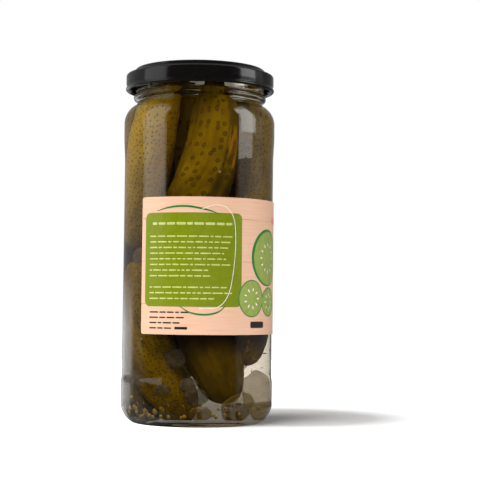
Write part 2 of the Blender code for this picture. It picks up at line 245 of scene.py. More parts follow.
def set_stops(ramp, stops):
    """Gives a colour ramp its stops, each a position and an sRGB hex colour or a linear grey."""
    elements = ramp.color_ramp.elements
    elements[0].position = stops[0][0]
    elements[1].position = stops[-1][0]
    for position, _ in stops[1:-1]:
        elements.new(position)
    for element, (_, colour) in zip(elements, stops):
        element.color = linear(colour) if isinstance(colour, str) else (colour, colour, colour, 1.0)


def mottled(tree, place, scale, detail, stops):
    """Noise and the colours that follow it, for a surface that isn't quite even."""
    change = add_node(tree, "ShaderNodeTexNoise", {"Scale": scale, "Detail": detail, "Vector": place})
    colours = add_node(tree, "ShaderNodeValToRGB", {"Fac": change})
    set_stops(colours, stops)
    return change, colours


def new_material(name):
    """A material with its node tree, its shader and the object coordinates."""
    material = bpy.data.materials.new(name)
    material.use_nodes = True
    tree = material.node_tree
    place = add_node(tree, "ShaderNodeTexCoord").outputs["Object"]
    return material, tree, tree.nodes["Principled BSDF"], place


def mottled_material(name, scale, detail, stops, look):
    """A material with mottled colour and plain values for the rest."""
    material, tree, shader, place = new_material(name)
    colours = mottled(tree, place, scale, detail, stops)[1]
    fill_sockets(tree, shader, {"Base Color": colours, **look})
    return material


def add_piece(name, mesh, material):
    """Adds a smooth-shaded object at the origin."""
    piece = bpy.data.objects.new(name, mesh)
    bpy.context.scene.collection.objects.link(piece)
    mesh.materials.append(material)
    mesh.shade_smooth()
    return piece


def mesh_from(name, points, faces):
    """A mesh of points and of faces that name their corners by number."""
    mesh = bpy.data.meshes.new(name)
    mesh.from_pydata([tuple(point) for point in points], [], faces)
    mesh.update()
    return mesh


def outward(mesh):
    """Turns the faces of closed shells outwards."""
    shell = bmesh.new()
    shell.from_mesh(mesh)
    bmesh.ops.recalc_face_normals(shell, faces=shell.faces)
    shell.to_mesh(mesh)
    shell.free()
    return mesh


def polar(azimuth, distance, height):
    """A point from its azimuth in degrees, its distance from the jar's axis and its height."""
    angle = math.radians(azimuth)
    return Vector((distance * math.sin(angle), -distance * math.cos(angle), height))


def arc(centre, radii, start, end, steps):
    """Points of an elliptical arc in the profile plane, as (radius, height), from one angle to another."""
    angles = np.radians(np.linspace(start, end, steps + 1))
    return [(centre[0] + radii[0] * math.cos(a), centre[1] + radii[1] * math.sin(a)) for a in angles]


def straight(start, end, steps):
    """Points from start to end, without the end."""
    return [tuple(point) for point in np.linspace(start, end, steps + 1)[:-1]]


def smooth_bump(value):
    """1 at 0, falling smoothly to 0 at -1 and 1."""
    return 0.5 + 0.5 * math.cos(math.pi * max(-1.0, min(1.0, value)))


def turned(name, profile, steps, shift=None):
    """Turns a closed profile that starts and ends on the axis, and moves each point out by shift."""
    points = [(0.0, 0.0, profile[0][1])]
    for radius, height in profile[1:-1]:
        for step in range(steps):
            azimuth = 360.0 * step / steps
            moved = radius + (shift(azimuth, radius, height) if shift else 0.0)
            points.append(polar(azimuth, moved, height))
    points.append((0.0, 0.0, profile[-1][1]))
    rings = len(profile) - 2
    last = len(points) - 1
    faces = []
    for step in range(steps):
        after = (step + 1) % steps
        faces.append((0, 1 + step, 1 + after))
        faces.append((last, last - steps + after, last - steps + step))
        for ring in range(rings - 1):
            near, far = 1 + ring * steps, 1 + (ring + 1) * steps
            faces.append((near + step, far + step, far + after, near + after))
    return outward(mesh_from(name, points, faces))


# The glass jar

def jar_outside():
    """The jar's outer profile from the lip down to the middle of its base."""
    rounding = (LIP_ROUNDING, LIP_ROUNDING)
    points = [(BORE_RADIUS + LIP_ROUNDING, JAR_HEIGHT)]
    points += arc((FINISH_RADIUS - LIP_ROUNDING, JAR_HEIGHT - LIP_ROUNDING), rounding, 90, 0, 6)
    low = LID_BOTTOM - 0.0005
    points += straight((FINISH_RADIUS, JAR_HEIGHT - 1.1 * LIP_ROUNDING), (FINISH_RADIUS, low), 26)
    points += [(FINISH_RADIUS - 0.0002, low - 0.0004)]
    points += arc((BEAD_RADIUS - BEAD_SIZE, BEAD_HEIGHT), (BEAD_SIZE, BEAD_SIZE), 72, -62, 14)
    points += [(NECK_RADIUS + 0.0002, BEAD_HEIGHT - 1.25 * BEAD_SIZE)]
    cosine = (NECK_RADIUS - JAR_RADIUS + SHOULDER_RADIUS) / SHOULDER_RADIUS
    centre = (JAR_RADIUS - SHOULDER_RADIUS, SHOULDER_START)
    rounding = (SHOULDER_RADIUS, SHOULDER_RADIUS)
    points += arc(centre, rounding, math.degrees(math.acos(cosine)), 0, 24)
    points += straight((JAR_RADIUS, SHOULDER_START - 0.001), (JAR_RADIUS, PANEL_TOP + 0.014), 4)
    for share in np.linspace(0, 1, 19):
        drop = PANEL_DEPTH * (0.5 - 0.5 * math.cos(math.pi * share))
        points.append((JAR_RADIUS - drop, PANEL_TOP + 0.014 * (1 - share)))
    panel = JAR_RADIUS - PANEL_DEPTH
    points += straight((panel, PANEL_TOP - 0.002), (panel, PANEL_BOTTOM), 20)
    for share in np.linspace(0, 1, 11):
        rise = PANEL_DEPTH * (0.5 + 0.5 * math.cos(math.pi * share))
        points.append((JAR_RADIUS - rise, PANEL_BOTTOM - 0.006 * share))
    points += straight((JAR_RADIUS, PANEL_BOTTOM - 0.007), (JAR_RADIUS, HEEL_HEIGHT + 0.001), 4)
    for angle in np.radians(np.linspace(90, 0, 19)):
        out, down = math.sin(angle) ** HEEL_FULLNESS, math.cos(angle) ** HEEL_FULLNESS
        points.append((FOOT_RADIUS + (JAR_RADIUS - FOOT_RADIUS) * out, HEEL_HEIGHT * (1 - down)))
    points += [(FOOT_RADIUS - 0.5 * FOOT_WIDTH, 0.0), (FOOT_RADIUS - FOOT_WIDTH, 0.0002)]
    for share in np.linspace(0.15, 1, 8):
        radius = (FOOT_RADIUS - FOOT_WIDTH) * (1 - share)
        points.append((radius, 0.0002 + (PUSH_UP - 0.0002) * math.sin(math.pi / 2 * min(1.0, 1.6 * share))))
    return points


def jar_inside():
    """The jar's inner profile from the middle of its floor up to the lip."""
    turn_in = INNER_RADIUS - CORNER_RADIUS
    points = []
    for share in np.linspace(0, 1, 7)[:-1]:
        points.append((turn_in * share, FLOOR_THICKNESS + FLOOR_DOME * (1 - share ** 2)))
    rounding = (CORNER_RADIUS, CORNER_HEIGHT)
    points += arc((turn_in, FLOOR_THICKNESS + CORNER_HEIGHT), rounding, -90, 0, 18)
    low, high = FLOOR_THICKNESS + CORNER_HEIGHT + 0.002, SHOULDER_START - 0.002
    points += straight((INNER_RADIUS, low), (INNER_RADIUS, high), 16)
    points += arc((turn_in, SHOULDER_START), rounding, 0, 62, 14)
    low, high = SHOULDER_START + 1.1 * CORNER_HEIGHT, JAR_HEIGHT - 0.002
    points += straight((BORE_RADIUS, low), (BORE_RADIUS, high), 6)
    points += [(BORE_RADIUS, JAR_HEIGHT - LIP_ROUNDING)]
    centre = (BORE_RADIUS + LIP_ROUNDING, JAR_HEIGHT - LIP_ROUNDING)
    points += arc(centre, (LIP_ROUNDING, LIP_ROUNDING), 165, 105, 3)
    return points


def thread_move(azimuth, radius, height):
    """Thread ridges on the finish, each rising over most of its share of the turn and fading at both ends."""
    if radius < FINISH_RADIUS - 0.0001 or not LID_BOTTOM - 0.0003 < height < JAR_HEIGHT - LIP_ROUNDING:
        return 0.0
    share = 360.0 / THREADS
    along = ((azimuth - THREAD_START) % share) / share
    off_centre = (height - THREAD_LOW - THREAD_RISE * along) / THREAD_HALF_WIDTH
    fade = smooth_bump(max(0.0, 2.4 * abs(along - 0.45) - 0.6) / 0.4)
    return THREAD_DEPTH * fade * smooth_bump(off_centre)


def clear_material(name, colour, ior, shine, ripple, ripple_depth):
    """A clear material that light for the contents passes straight, so that they are lit without grain."""
    material, tree, shader, place = new_material(name)
    waves = add_node(tree, "ShaderNodeTexNoise", {"Scale": ripple, "Detail": 1.0, "Vector": place})
    bump = add_node(tree, "ShaderNodeBump", {"Strength": 1.0, "Distance": ripple_depth, "Height": waves})
    fill_sockets(tree, shader, {
        "Base Color": linear(colour), "Roughness": 0.0, "IOR": ior, "Specular IOR Level": shine,
        "Transmission Weight": 1.0, "Normal": bump,
    })
    shadow = add_node(tree, "ShaderNodeLightPath").outputs["Is Shadow Ray"]
    passing = add_node(tree, "ShaderNodeBsdfTransparent", {"Color": linear(colour)})
    mix = add_node(tree, "ShaderNodeMixShader", {0: shadow, 1: shader, 2: passing})
    fill_sockets(tree, tree.nodes["Material Output"], {"Surface": mix})
    return material


def flint_glass():
    """Moulded soda-lime glass: clear, glossy, and slightly wavy, which bends the edges of reflections."""
    return clear_material("moulded soda-lime glass", "F4F7F4", 1.5, 0.5, 60.0, 0.00003)


def wetted_glass():
    """The same glass where brine wets it: almost no reflection is left at that side."""
    return clear_material("moulded glass, wetted side", "F4F7F4", 1.5, 0.03, 60.0, 0.00002)


def make_jar():
    """The glass, with a second material on the faces that the brine wets."""
    profile = jar_inside() + jar_outside()
    jar = add_piece("jar_glass", turned("jar_glass", profile, JAR_STEPS, thread_move), flint_glass())
    jar.data.materials.append(wetted_glass())
    wetted = 1 + JAR_STEPS * (len([point for point in jar_inside() if point[1] < BRINE_TOP]) - 1)
    for face in jar.data.polygons:
        if max(face.vertices) < wetted:
            face.material_index = 1
    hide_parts("jar")
    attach(jar, "root")


# The brine

def brine_material():
    """Vinegar brine: clear, faintly yellow, as bright as water at its edges."""
    return clear_material("vinegar brine", "EAD8C8", 1.35, 0.03, 20.0, 0.0)


def make_brine():
    """The brine fills the jar to just under the lid and reaches a hair into the glass all round."""
    inside = [point for point in jar_inside() if point[1] < BRINE_TOP - 0.0008]
    profile = []
    for before, here, after in zip([inside[0]] + inside, inside, inside[1:] + [inside[-1]]):
        along = Vector((after[0] - before[0], after[1] - before[1])).normalized()
        profile.append((here[0] + BRINE_OVERLAP * along.y, here[1] - BRINE_OVERLAP * along.x))
    profile[0] = (0.0, profile[0][1])
    reach = BORE_RADIUS + BRINE_OVERLAP
    profile += [(reach, BRINE_TOP), (reach - 0.0012, BRINE_TOP - 0.0006), (0.5 * reach, BRINE_TOP - 0.0008)]
    profile += [(0.0, BRINE_TOP - 0.0008)]
    brine = add_piece("brine", turned("brine", profile, JAR_STEPS), brine_material())
    brine.data.set_sharp_from_angle(angle=math.radians(50))
    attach(brine, "root")


# The lid

def lid_profile():
    """The pressed lid from the middle of its top, out and down to the rolled edge, and back underneath."""
    panel = LID_TOP - LID_RING_HEIGHT
    button = panel + BUTTON_HEIGHT
    ring_inside, ring_outside = LID_RING_RADIUS - LID_RING_SIZE, LID_RING_RADIUS + LID_RING_SIZE
    step = LID_TOP - LID_STEP_DEPTH
    points = [(0.0, button + 0.0001), (0.006, button + 0.00005)]
    for share in np.linspace(0, 1, 7):
        points.append((BUTTON_RADIUS - 0.0012 * (1 - share), panel + BUTTON_HEIGHT * smooth_bump(share)))
    flat = (BUTTON_RADIUS + 0.0005, ring_inside - 0.002, ring_inside - CURL_SIZE)
    points += [(radius, panel) for radius in flat]
    centre = (LID_RING_RADIUS, LID_TOP - LID_EDGE_ROUNDING)
    points += arc(centre, (LID_RING_SIZE, LID_EDGE_ROUNDING), 155, 15, 12)
    points += [(ring_outside + 0.6 * CURL_SIZE, step + 0.0003), (ring_outside + 1.4 * CURL_SIZE, step)]
    rounding = (LID_EDGE_ROUNDING, LID_EDGE_ROUNDING)
    points += arc((LID_RADIUS - LID_EDGE_ROUNDING, step - LID_EDGE_ROUNDING), rounding, 88, 0, 8)
    points += straight((LID_RADIUS, step - 0.002), (LID_RADIUS, LID_BOTTOM + 2.8 * CURL_SIZE), 4)
    points += [(LID_RADIUS - 0.0002, LID_BOTTOM + 2.2 * CURL_SIZE)]
    curl_centre = (LID_RADIUS - CURL_SIZE + 0.00025, LID_BOTTOM + CURL_SIZE)
    points += arc(curl_centre, (CURL_SIZE, CURL_SIZE), 60, -210, 16)
    inner = LID_RADIUS - LID_THICKNESS
    under_step, under_panel = step - LID_THICKNESS, panel - LID_THICKNESS
    points += [(inner - 0.0002, LID_BOTTOM + 2.2 * CURL_SIZE), (inner - 0.0001, LID_BOTTOM + 3 * CURL_SIZE)]
    points += arc((inner - LID_EDGE_ROUNDING, under_step - LID_EDGE_ROUNDING), rounding, 0, 88, 5)
    points += [(ring_outside + CURL_SIZE, under_step), (ring_outside, LID_TOP - LID_EDGE_ROUNDING)]
    points += [(LID_RING_RADIUS, LID_TOP - LID_THICKNESS), (ring_inside, LID_TOP - LID_EDGE_ROUNDING)]
    points += [(ring_inside - CURL_SIZE, under_panel), (BUTTON_RADIUS + 0.0004, under_panel)]
    points += [(BUTTON_RADIUS - 0.0012, button - LID_THICKNESS), (0.0, button - LID_THICKNESS)]
    return points


def lug_move(azimuth, radius, height):
    """Lugs, where the rolled edge is pressed inwards under the jar's threads."""
    if height > LID_BOTTOM + 2.3 * CURL_SIZE or radius > LID_RADIUS + 0.0001:
        return 0.0
    share = 360.0 / LUGS
    off = ((azimuth + share / 2) % share) - share / 2
    inwards = min(1.0, max(0.0, (LID_RADIUS + 0.0001 - radius) / (2 * CURL_SIZE)))
    return -LUG_DEPTH * inwards * smooth_bump(off / LUG_HALF_ANGLE)


def lacquered_tinplate():
    """Tinplate with black gloss lacquer: nearly black, with soft-edged reflections and a faint peel."""
    material, tree, shader, place = new_material("black lacquered tinplate")
    specks, colours = mottled(tree, place, 260.0, 3.0, ((0.0, "0B0909"), (1.0, "110E0E")))
    rough = add_node(tree, "ShaderNodeMapRange", fading(specks, 0.3, 0.7, 0.11, 0.17))
    peel = add_node(tree, "ShaderNodeTexNoise", {"Scale": 900.0, "Detail": 2.0, "Vector": place})
    bump = add_node(tree, "ShaderNodeBump", {"Strength": 0.25, "Distance": 0.00002, "Height": peel})
    fill_sockets(tree, shader, {"Base Color": colours, "Roughness": rough, "Normal": bump, "IOR": 1.5})
    return material


def make_lid():
    """The lid, turned in one piece, with its lugs."""
    mesh = turned("lid_lacquered", lid_profile(), LID_STEPS, lug_move)
    lid = add_piece("lid_lacquered", mesh, lacquered_tinplate())
    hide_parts("lid")
    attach(lid, "root")


# The gherkins

def gherkin_axis(ends_and_middle, share):
    """A point on the bowed line through a gherkin, from its lower end at 0 to its upper end at 1."""
    lower, middle, upper = (np.array(point) for point in ends_and_middle)
    weights = 2 * (share - 0.5) * (share - 1), 4 * share * (1 - share), 2 * share * (share - 0.5)
    return polar(*(weights[0] * lower + weights[1] * middle + weights[2] * upper))


def gherkin_radius(share, fuller_below):
    """A gherkin's half-thickness along its length, as a share of half its diameter: blunt at both ends."""
    along = 2 * share - 1
    blunt = max(0.0, 1 - abs(along) ** 4.6) ** 0.5
    return blunt * (0.95 + 0.05 * math.cos(math.pi * along)) * (1 - 0.5 * fuller_below * along)


def inside_limit(height):
    """How far from the axis the contents may reach at a height."""
    above_corner = FLOOR_THICKNESS + CORNER_HEIGHT - height
    beyond = max(above_corner, height - SHOULDER_START, 0.0) / CORNER_HEIGHT
    turn_in = CORNER_RADIUS * (1 - math.sqrt(1 - min(beyond, 0.99) ** 2))
    limit = INNER_RADIUS - turn_in
    if height > SHOULDER_START:
        limit = max(limit, BORE_RADIUS)
    return limit - CLEARANCE


def keep_inside(point):
    """Pulls a point of the contents back inside the glass."""
    point.z = max(point.z, CONTENTS_BOTTOM)
    distance = math.hypot(point.x, point.y)
    limit = inside_limit(point.z)
    if distance > limit:
        point.xy = point.xy * (limit / distance)
    return point


def gherkin_shape(index, diameter, fuller_below, ends_and_middle):
    """Points, faces and skin places in mm of one gherkin, with shallow folds and an uneven skin."""
    chance = random.Random(100 + index)
    stations = [gherkin_axis(ends_and_middle, i / 20) for i in range(21)]
    length = sum((after - before).length for before, after in zip(stations, stations[1:]))
    rings = int(length / GHERKIN_RING_SPACING)
    folds = [
        (chance.choice((3, 4, 5, 7, 9)), chance.uniform(0, 6.28), chance.uniform(-0.6, 0.6)) for _ in range(4)
    ]
    seed = Vector((11.0 * index, 3.0, 7.0))
    points, places = [], []
    for ring in range(rings + 1):
        share = 0.5 - 0.5 * math.cos(math.pi * ring / rings)
        share = 0.35 * share + 0.65 * ring / rings
        axis = gherkin_axis(ends_and_middle, share)
        ahead = gherkin_axis(ends_and_middle, share + 0.02)
        forward = (ahead - gherkin_axis(ends_and_middle, share - 0.02)).normalized()
        inwards = Vector((-axis.x, -axis.y, 0.0))
        inwards = (inwards - forward * inwards.dot(forward)).normalized()
        sideways = forward.cross(inwards)
        reach = diameter / 2 * gherkin_radius(share, fuller_below)
        for side in range(GHERKIN_SIDES + 1):
            turn = 2 * math.pi * side / GHERKIN_SIDES
            around = math.cos(turn) * inwards + math.sin(turn) * sideways
            fold = sum(math.cos(n * turn + phase + lean * 6 * share) for n, phase, lean in folds)
            spot = axis + around * reach
            swell = noise.noise(spot * 110.0 + seed) * 0.00045 + noise.noise(spot * 380.0 + seed) * 0.00016
            relief = (0.00013 * fold + swell) * min(1.0, reach / (0.25 * diameter))
            if side < GHERKIN_SIDES:
                points.append(keep_inside(axis + around * max(0.0, reach + relief)))
            places.append((turn * diameter / 2 / MM, share * length / MM))
    return points, places, rings


def gherkin_skin():
    """Pickled gherkin skin: olive, mottled, wet, with ringed warts or small dark dots, and painted light,
    painted shade and a painted highlight from its attributes.
    """
    material, tree, shader, place = new_material("pickled gherkin skin")
    skin = add_node(tree, "ShaderNodeUVMap", uv_map="skin")
    dotted, warty, tone, shade, lit = (
        add_node(tree, "ShaderNodeAttribute", attribute_name=name).outputs["Fac"] for name in SKIN_ATTRIBUTES
    )

    # Warts a few millimetres apart, each a paler point in a dark ring, some of them missing
    spread = {"Scale": 1 / WART_SPACING, "Randomness": 0.8, "Vector": skin}
    warts = add_node(tree, "ShaderNodeTexVoronoi", spread, voronoi_dimensions="2D")
    ring = add_node(tree, "ShaderNodeValToRGB", {"Fac": warts})
    set_stops(ring, ((0.0, 0.30), (0.12, 0.55), (0.17, 1.0), (0.215, 1.0), (0.30, 0.0)))
    chosen = add_node(tree, "ShaderNodeSeparateColor", {"Color": warts.outputs["Color"]})
    present = add_node(tree, "ShaderNodeMapRange", fading(chosen, 0.2, 0.55))
    ringed = add_node(tree, "ShaderNodeMath", {0: ring, 1: present}, operation="MULTIPLY")
    spread = {"Scale": 1 / DOT_SPACING, "Randomness": 0.75, "Vector": skin}
    dots = add_node(tree, "ShaderNodeTexVoronoi", spread, voronoi_dimensions="2D")
    dot = add_node(tree, "ShaderNodeMapRange", fading(dots, 0.10, 0.24, 1.0, 0.0))
    marks = add_node(tree, "ShaderNodeMix", {0: dotted, 2: ringed, 3: dot})

    # Mottling, and pale streaks along the gherkin
    mottle = add_node(tree, "ShaderNodeTexNoise", {"Scale": 95.0, "Detail": 5.0, "Vector": place})
    stretch = add_node(tree, "ShaderNodeMapping", {"Scale": (0.35, 0.035, 1.0), "Vector": skin})
    streak = add_node(tree, "ShaderNodeTexNoise", {"Scale": 1.0, "Detail": 3.0, "Vector": stretch})
    blend = add_node(tree, "ShaderNodeMix", {0: 0.45, 2: mottle, 3: streak})
    # Each gherkin's random paleness and the painted light added to it move it along the olive colours
    toned = add_node(tree, "ShaderNodeMath", {0: blend, 1: tone}, operation="ADD")
    colour = add_node(tree, "ShaderNodeValToRGB", {"Fac": toned})
    set_stops(colour, ((0.30, "7A6500"), (0.50, "A78804"), (0.86, "DDBB12")))
    strength = add_node(tree, "ShaderNodeMath", {0: marks, 1: warty}, operation="MULTIPLY")
    # Darker olive on the warts and dots, painted shade in dark olive, and painted highlight in bright yellow
    for share, over in ((strength, "3A2B03"), (shade, "2E2301"), (lit, "E8AE10")):
        layers = {0: share, 6: colour, 7: linear(over)}
        colour = add_node(tree, "ShaderNodeMix", layers, data_type="RGBA").outputs[2]

    # Raised warts and fine wrinkles
    wrinkle = add_node(tree, "ShaderNodeTexNoise", {"Scale": 700.0, "Detail": 3.0, "Vector": place})
    height = add_node(tree, "ShaderNodeMath", {0: wrinkle, 1: 0.25, 2: marks}, operation="MULTIPLY_ADD")
    bump = add_node(tree, "ShaderNodeBump", {"Strength": 0.8, "Distance": 0.00022, "Height": height})
    look = {"Base Color": colour, "Normal": bump, "Roughness": 0.42, "Specular IOR Level": 0.05}
    fill_sockets(tree, shader, look)
    return material


def eased(value):
    """0 below 0 and 1 above 1, with a smooth rise between."""
    share = max(0.0, min(1.0, value))
    return share * share * (3 - 2 * share)


def edge_shade(name, place, facing):
    """Painted shade on a gherkin's skin where it turns away from the front and, on the lower ones, under the
    label as the label's painted shadow; and painted light: a lighter band on the upper left one, and a
    lighter top and a highlight strip at the right on the upper front one.
    """
    turned_away = eased((abs(facing.x) - 0.35) / 0.6)
    # Lower gherkins: painted shade at their sides, and the label's painted shadow just under the label
    if name.startswith("lower"):
        under_label = 0.1 if name == "lower_left" else 0.6
        near_label = eased((place.z - UNDER_LABEL[0]) / (UNDER_LABEL[1] - UNDER_LABEL[0]))
        return 0.2 * turned_away + under_label * near_label, 0.0
    if name == "upper_left":
        return 0.0, 0.5 * smooth_bump((facing.x - 0.40) / 0.5)
    if name != "upper_front":
        return 0.1 * turned_away, 0.0
    # The upper front one: painted shade at its sides, most at the right and low at the left, less near its
    # top; painted light near its top and a painted highlight strip down its right side
    low = eased((0.122 - place.z) / 0.016)
    dark = (0.6 if facing.x > 0 else 0.35 + 0.5 * low) * turned_away - 0.12 * eased((place.z - 0.130) / 0.01)
    along = eased((place.z - LIT_STRIP[0]) / 0.005) * eased((LIT_STRIP[1] - place.z) / 0.005)
    strip = smooth_bump((facing.x - 0.80) / 0.07)
    return dark, max(0.9 * along * strip, 0.05 * eased((place.z - 0.126) / 0.016))


def make_gherkins():
    """All gherkins in one mesh; attributes hold how each is marked, its random paleness with painted light
    added, its painted shade and its painted highlight.
    """
    points, faces, places, names = [], [], [], []
    skin = {attribute: [] for attribute in SKIN_ATTRIBUTES}
    for index, (name, diameter, fuller_below, *ends_and_middle) in enumerate(GHERKINS):
        own_points, own_places, rings = gherkin_shape(index, diameter, fuller_below, ends_and_middle)
        start = len(points)
        points += own_points
        names += [name] * len(own_points)
        # Each gherkin's random paleness, with painted light added on the upper left one, and its painted
        # shade, 0.1 where none is listed
        tone = random.Random(index).uniform(-0.06, 0.06) + (PALER_LEFT if name == "upper_left" else 0.0)
        marked = FAINTLY_MARKED if name == "lower_front" else MARKED
        own = (float(name in DOTTED), marked, tone, DARKER.get(name, 0.1), 0.0)
        for attribute, value in zip(SKIN_ATTRIBUTES, own):
            skin[attribute] += [value] * len(own_points)
        for ring in range(rings):
            for side in range(GHERKIN_SIDES):
                after = (side + 1) % GHERKIN_SIDES
                near, far = start + ring * GHERKIN_SIDES, start + (ring + 1) * GHERKIN_SIDES
                faces.append((near + side, near + after, far + after, far + side))
                row = ring * (GHERKIN_SIDES + 1)
                above = row + GHERKIN_SIDES + 1
                corners = (row + side, row + side + 1, above + side + 1, above + side)
                places += [own_places[corner] for corner in corners]
    mesh = mesh_from("gherkins", points, faces)
    layer = mesh.uv_layers.new(name="skin")
    layer.data.foreach_set("uv", np.array(places, dtype=np.float32).ravel())
    # Painted shade and painted light by how each point faces and how high it sits, and painted light that
    # makes every gherkin paler near the top of the jar
    for i, (name, vertex) in enumerate(zip(names, mesh.vertices)):
        dark, skin["lit"][i] = edge_shade(name, vertex.co, vertex.normal)
        skin["shade"][i] = min(1.0, max(0.0, skin["shade"][i] + dark))
        skin["tone"][i] += PALER_TOP * eased((vertex.co.z - PALER_TOP_START) / 0.03)
    for attribute, values in skin.items():
        mesh.attributes.new(attribute, "FLOAT", "POINT").data.foreach_set("value", values)
    shell = bmesh.new()
    shell.from_mesh(mesh)
    bmesh.ops.remove_doubles(shell, verts=shell.verts, dist=0.000002)
    bmesh.ops.dissolve_degenerate(shell, edges=shell.edges, dist=0.000002)
    bmesh.ops.recalc_face_normals(shell, faces=shell.faces)
    shell.to_mesh(mesh)
    shell.free()
    gherkins = add_piece("gherkins", mesh, gherkin_skin())
    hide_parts("pickles")
    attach(gherkins, "root")


# Garlic, seeds and dill

def garlic_flesh():
    """Pickled garlic: waxy, greyish and half see-through, so it looks dull, its grey darker than real garlic
    as painted shade for the dim lower jar; slices at the right are olive.
    """
    material, tree, shader, place = new_material("pickled garlic")
    veins, colours = mottled(tree, place, 420.0, 4.0, ((0.35, "5F5648"), (0.68, "8C806C")))
    olive = add_node(tree, "ShaderNodeAttribute", attribute_name="olive").outputs["Fac"]
    layers = {0: olive, 6: colours, 7: linear("A98F2E")}
    tinted = add_node(tree, "ShaderNodeMix", layers, data_type="RGBA").outputs[2]
    bump = add_node(tree, "ShaderNodeBump", {"Strength": 0.6, "Distance": 0.0002, "Height": veins})
    look = {"Base Color": tinted, "Normal": bump, "Roughness": 0.35, "Specular IOR Level": 0.2, "Alpha": 0.48}
    fill_sockets(tree, shader, look)
    return material


def make_garlic():
    """Uneven slabs cut from cloves, rounded at their edges."""
    whole = bmesh.new()
    olive = []
    for index, (azimuth, distance, height, radius, tilt) in enumerate(GARLIC):
        ball = bmesh.new()
        bmesh.ops.create_icosphere(ball, subdivisions=4, radius=1.0)
        facing = polar(azimuth, 1.0, 0.0).to_track_quat("Z", "Y")
        lean = Matrix.Rotation(math.radians(-tilt), 3, "X")
        for vertex in ball.verts:
            spot = vertex.co.copy()
            uneven = 1 + 0.16 * noise.noise(spot * 1.3 + Vector((5.0 * index, 0, 0)))
            flat = Vector((spot.x * radius, spot.y * radius * 0.86, 0.0)) * uneven
            thick = 0.5 * GARLIC_THICKNESS * math.copysign(abs(spot.z) ** 0.85, spot.z) * uneven
            dent = 0.0005 * noise.noise(spot * 3 + Vector((0, 9.0 * index, 0)))
            local = Vector((flat.x, flat.y, thick + dent))
            vertex.co = keep_inside(polar(azimuth, distance, height) + facing @ (lean @ local))
        part = bpy.data.meshes.new("one")
        ball.to_mesh(part)
        ball.free()
        olive += [1.0 if azimuth > 0 else 0.0] * len(part.vertices)
        whole.from_mesh(part)
        bpy.data.meshes.remove(part)
    mesh = bpy.data.meshes.new("garlic")
    whole.to_mesh(mesh)
    whole.free()
    mesh.attributes.new("olive", "FLOAT", "POINT").data.foreach_set("value", olive)
    garlic = add_piece("garlic", mesh, garlic_flesh())
    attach(garlic, "root")


def mustard_husk():
    """Soaked yellow mustard seed: ochre, a little uneven from seed to seed."""
    look = {"Roughness": 0.4, "Specular IOR Level": 0.25}
    return mottled_material("soaked mustard seed", 330.0, 2.0, ((0.35, "9A8030"), (0.65, "D9C060")), look)


def bare_object(name, points, edges=()):
    """An object of points, or of points and edges, for a Geometry Nodes tree to grow on."""
    mesh = bpy.data.meshes.new(name)
    mesh.from_pydata([tuple(point) for point in points], edges, [])
    thing = bpy.data.objects.new(name, mesh)
    bpy.context.scene.collection.objects.link(thing)
    return thing


def grown(thing, tree, values, material):
    """Runs a Geometry Nodes tree on an object and keeps its result as a plain mesh."""
    modifier = thing.modifiers.new("nodes", "NODES")
    modifier.node_group = tree
    for socket in tree.interface.items_tree:
        if socket.in_out == "INPUT" and socket.name in values:
            modifier[socket.identifier] = values[socket.name]
    bpy.context.view_layer.update()
    graph = bpy.context.evaluated_depsgraph_get()
    mesh = bpy.data.meshes.new_from_object(thing.evaluated_get(graph))
    thing.modifiers.clear()
    thing.data = mesh
    mesh.materials.clear()
    mesh.materials.append(material)
    mesh.shade_smooth()
    return thing


def new_tree(name, inputs):
    """A Geometry Nodes tree with named inputs for its sizes, and the nodes at its two ends."""
    tree = bpy.data.node_groups.new(name, "GeometryNodeTree")
    for title, way, kind in (("Geometry", "INPUT", "Geometry"), ("Geometry", "OUTPUT", "Geometry"), *inputs):
        tree.interface.new_socket(title, in_out=way, socket_type="NodeSocket" + kind)
    return tree, tree.nodes.new("NodeGroupInput"), tree.nodes.new("NodeGroupOutput")


def end_tree(tree, geometry, material, result):
    """Ends a tree in real geometry with its material."""
    real = add_node(tree, "GeometryNodeRealizeInstances", {"Geometry": geometry})
    finish = add_node(tree, "GeometryNodeSetMaterial", {"Geometry": real, "Material": material})
    fill_sockets(tree, result, {"Geometry": finish})
    return tree


def seed_tree(material):
    """Puts a round seed on every point, each of its own size and turn."""
    inputs = (("Diameter", "INPUT", "Float"), ("Size change", "INPUT", "Float"), ("Seed", "INPUT", "Int"))
    tree, given, result = new_tree("mustard seeds", inputs)
    seed = given.outputs["Seed"]
    ball = add_node(tree, "GeometryNodeMeshIcoSphere", {"Radius": 0.5, "Subdivisions": 3})
    low = add_node(tree, "ShaderNodeMath", {0: 1.0, 1: given.outputs["Size change"]}, operation="SUBTRACT")
    chances = {"Min": low, "Max": 1.0, "Seed": seed}
    size = add_node(tree, "FunctionNodeRandomValue", chances, data_type="FLOAT").outputs["Value"]
    scale = add_node(tree, "ShaderNodeMath", {0: size, 1: given.outputs["Diameter"]}, operation="MULTIPLY")
    chances = {"Min": (0, 0, 0), "Max": (6.28, 6.28, 6.28), "Seed": seed}
    turn = add_node(tree, "FunctionNodeRandomValue", chances, data_type="FLOAT_VECTOR").outputs["Value"]
    sockets = {"Points": given, "Instance": ball, "Rotation": turn, "Scale": scale}
    placed = add_node(tree, "GeometryNodeInstanceOnPoints", sockets)
    return end_tree(tree, placed, material, result)


